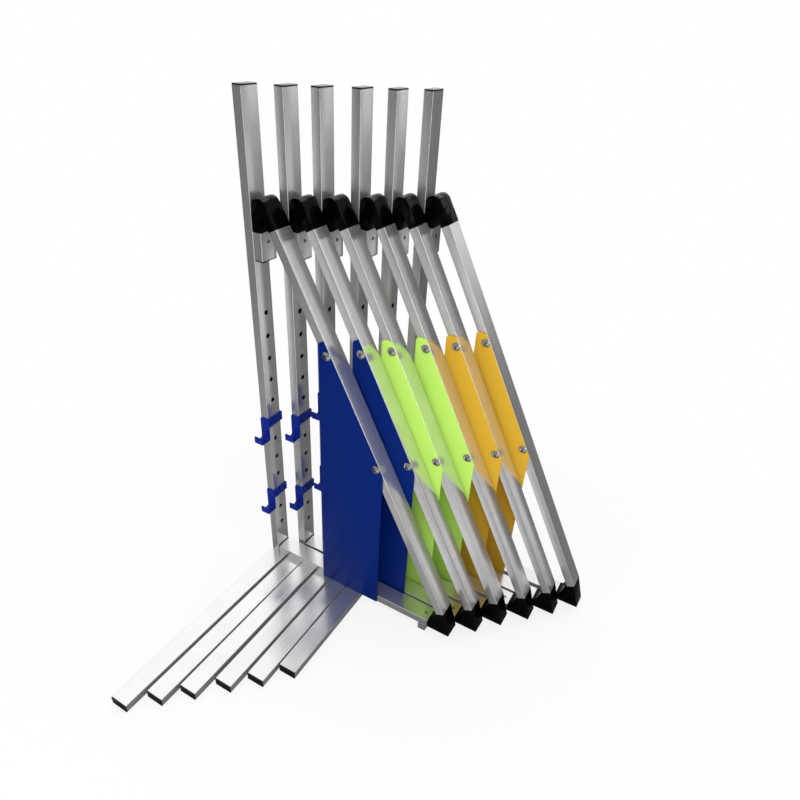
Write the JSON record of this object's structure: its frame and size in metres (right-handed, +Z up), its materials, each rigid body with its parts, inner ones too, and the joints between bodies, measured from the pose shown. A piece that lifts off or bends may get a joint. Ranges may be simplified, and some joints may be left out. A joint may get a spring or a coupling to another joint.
{
  "type": "dog agility hurdle",
  "caption": "Nested agility hurdle wings of aluminium tube, each with a slanted brace, a coloured panel and sliding plastic cups that hold the jump bars",
  "frame": {"origin": "the middle of the nest's outline, on the floor", "axes": "+X runs along the side rails from the uprights to the corner boots, -Y runs along the foot rails to their tips, +Z is up"},
  "size_m": [0.723, 0.7734, 1.0515],
  "materials": {
    "satin_aluminium": "satin",
    "black_plastic": "satin",
    "blue_panel": "semi-gloss",
    "lime_panel": "semi-gloss",
    "yellow_panel": "semi-gloss",
    "blue_cup": "semi-gloss",
    "zinc_plate": "bright"
  },
  "bodies": {
    "wing_1": {"upright_1": "satin_aluminium", "side_rail_1": "satin_aluminium", "foot_rail_1": "satin_aluminium", "brace_1": "satin_aluminium", "short_tubes_1": "satin_aluminium", "plastic_fittings_1": "black_plastic", "panel_1": "blue_panel", "fasteners_1": "zinc_plate"},
    "upper_cup_1": {"upper_cup_1": "blue_cup"},
    "lower_cup_1": {"lower_cup_1": "blue_cup"},
    "wing_2": {"upright_2": "satin_aluminium", "side_rail_2": "satin_aluminium", "foot_rail_2": "satin_aluminium", "brace_2": "satin_aluminium", "short_tubes_2": "satin_aluminium", "plastic_fittings_2": "black_plastic", "panel_2": "blue_panel", "fasteners_2": "zinc_plate"},
    "upper_cup_2": {"upper_cup_2": "blue_cup"},
    "lower_cup_2": {"lower_cup_2": "blue_cup"},
    "wing_3": {"upright_3": "satin_aluminium", "side_rail_3": "satin_aluminium", "foot_rail_3": "satin_aluminium", "brace_3": "satin_aluminium", "short_tubes_3": "satin_aluminium", "plastic_fittings_3": "black_plastic", "panel_3": "lime_panel", "fasteners_3": "zinc_plate"},
    "upper_cup_3": {"upper_cup_3": "blue_cup"},
    "lower_cup_3": {"lower_cup_3": "blue_cup"},
    "wing_4": {"upright_4": "satin_aluminium", "side_rail_4": "satin_aluminium", "foot_rail_4": "satin_aluminium", "brace_4": "satin_aluminium", "short_tubes_4": "satin_aluminium", "plastic_fittings_4": "black_plastic", "panel_4": "lime_panel", "fasteners_4": "zinc_plate"},
    "upper_cup_4": {"upper_cup_4": "blue_cup"},
    "lower_cup_4": {"lower_cup_4": "blue_cup"},
    "wing_5": {"upright_5": "satin_aluminium", "side_rail_5": "satin_aluminium", "foot_rail_5": "satin_aluminium", "brace_5": "satin_aluminium", "short_tubes_5": "satin_aluminium", "plastic_fittings_5": "black_plastic", "panel_5": "yellow_panel", "fasteners_5": "zinc_plate"},
    "upper_cup_5": {"upper_cup_5": "blue_cup"},
    "lower_cup_5": {"lower_cup_5": "blue_cup"},
    "wing_6": {"upright_6": "satin_aluminium", "side_rail_6": "satin_aluminium", "foot_rail_6": "satin_aluminium", "brace_6": "satin_aluminium", "short_tubes_6": "satin_aluminium", "plastic_fittings_6": "black_plastic", "panel_6": "yellow_panel", "fasteners_6": "zinc_plate"},
    "upper_cup_6": {"upper_cup_6": "blue_cup"},
    "lower_cup_6": {"lower_cup_6": "blue_cup"}
  },
  "joints": [
    {"name": "wing_5_lift", "type": "slide", "parent": "wing_6", "child": "wing_5", "axis": [0, 0, 1], "range_m": [0, 0.025]},
    {"name": "wing_4_lift", "type": "slide", "parent": "wing_5", "child": "wing_4", "axis": [0, 0, 1], "range_m": [0, 0.025]},
    {"name": "wing_3_lift", "type": "slide", "parent": "wing_4", "child": "wing_3", "axis": [0, 0, 1], "range_m": [0, 0.025]},
    {"name": "wing_2_lift", "type": "slide", "parent": "wing_3", "child": "wing_2", "axis": [0, 0, 1], "range_m": [0, 0.025]},
    {"name": "wing_1_lift", "type": "slide", "parent": "wing_2", "child": "wing_1", "axis": [0, 0, 1], "range_m": [0, 0.025]},
    {"name": "upper_cup_1_height", "type": "slide", "parent": "wing_1", "child": "upper_cup_1", "axis": [0, 0, 1], "range_m": [-0.05, 0.25]},
    {"name": "lower_cup_1_height", "type": "slide", "parent": "wing_1", "child": "lower_cup_1", "axis": [0, 0, 1], "range_m": [-0.1, 0.05]},
    {"name": "upper_cup_2_height", "type": "slide", "parent": "wing_2", "child": "upper_cup_2", "axis": [0, 0, 1], "range_m": [-0.05, 0.25]},
    {"name": "lower_cup_2_height", "type": "slide", "parent": "wing_2", "child": "lower_cup_2", "axis": [0, 0, 1], "range_m": [-0.1, 0.05]},
    {"name": "upper_cup_3_height", "type": "slide", "parent": "wing_3", "child": "upper_cup_3", "axis": [0, 0, 1], "range_m": [-0.1, 0.2]},
    {"name": "lower_cup_3_height", "type": "slide", "parent": "wing_3", "child": "lower_cup_3", "axis": [0, 0, 1], "range_m": [-0.15, 0]},
    {"name": "upper_cup_4_height", "type": "slide", "parent": "wing_4", "child": "upper_cup_4", "axis": [0, 0, 1], "range_m": [-0.05, 0.25]},
    {"name": "lower_cup_4_height", "type": "slide", "parent": "wing_4", "child": "lower_cup_4", "axis": [0, 0, 1], "range_m": [-0.1, 0.05]},
    {"name": "upper_cup_5_height", "type": "slide", "parent": "wing_5", "child": "upper_cup_5", "axis": [0, 0, 1], "range_m": [-0.05, 0.25]},
    {"name": "lower_cup_5_height", "type": "slide", "parent": "wing_5", "child": "lower_cup_5", "axis": [0, 0, 1], "range_m": [-0.1, 0.05]},
    {"name": "upper_cup_6_height", "type": "slide", "parent": "wing_6", "child": "upper_cup_6", "axis": [0, 0, 1], "range_m": [-0.05, 0.25]},
    {"name": "lower_cup_6_height", "type": "slide", "parent": "wing_6", "child": "lower_cup_6", "axis": [0, 0, 1], "range_m": [-0.1, 0.05]}
  ]
}
